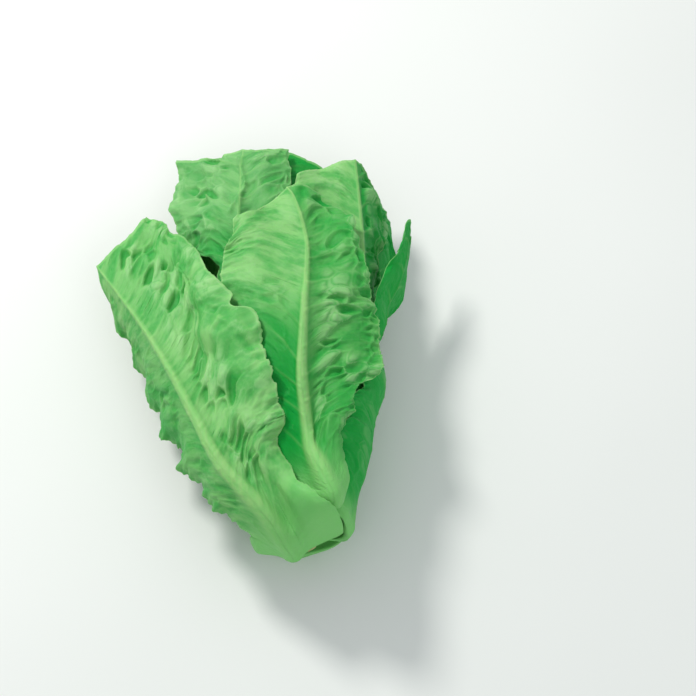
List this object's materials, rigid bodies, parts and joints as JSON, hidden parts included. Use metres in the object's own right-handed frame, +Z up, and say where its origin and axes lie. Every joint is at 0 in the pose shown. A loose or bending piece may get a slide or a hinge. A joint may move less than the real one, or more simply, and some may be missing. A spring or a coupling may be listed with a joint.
{
  "type": "romaine lettuce head",
  "caption": "Cut head of romaine lettuce lying on its side: a short stem, a tight heart and long overlapping leaves with thick pale midribs and waved edges.",
  "frame": {"origin": "middle of the flat spot on the underside on which the head lies", "axes": "+Y from the cut butt to the leaf tips, +Z up, +X to the right seen from the butt"},
  "size_m": [0.2161, 0.3151, 0.1029],
  "materials": {
    "leaf_green": "smooth, slightly waxy fresh leaf with a soft sheen",
    "heart_green": "pale yellow-green inner leaf with a soft sheen",
    "stem_green": "pale moist stem with a matt cut end"
  },
  "bodies": {
    "root": {"stem": "stem_green", "heart_leaf_1": "heart_green", "heart_leaf_2": "heart_green", "heart_leaf_3": "heart_green", "heart_leaf_4": "heart_green", "heart_leaf_5": "heart_green", "side_leaf_left": "leaf_green", "under_leaf_right": "leaf_green", "side_leaf_right": "leaf_green", "top_leaf_middle": "leaf_green", "top_leaf_left": "leaf_green", "top_leaf_right": "leaf_green", "narrow_leaf_right": "leaf_green", "outer_leaf_right": "leaf_green", "under_leaf_left": "leaf_green", "under_leaf_middle": "leaf_green", "centre_leaf": "leaf_green", "front_leaf": "leaf_green"}
  },
  "joints": []
}
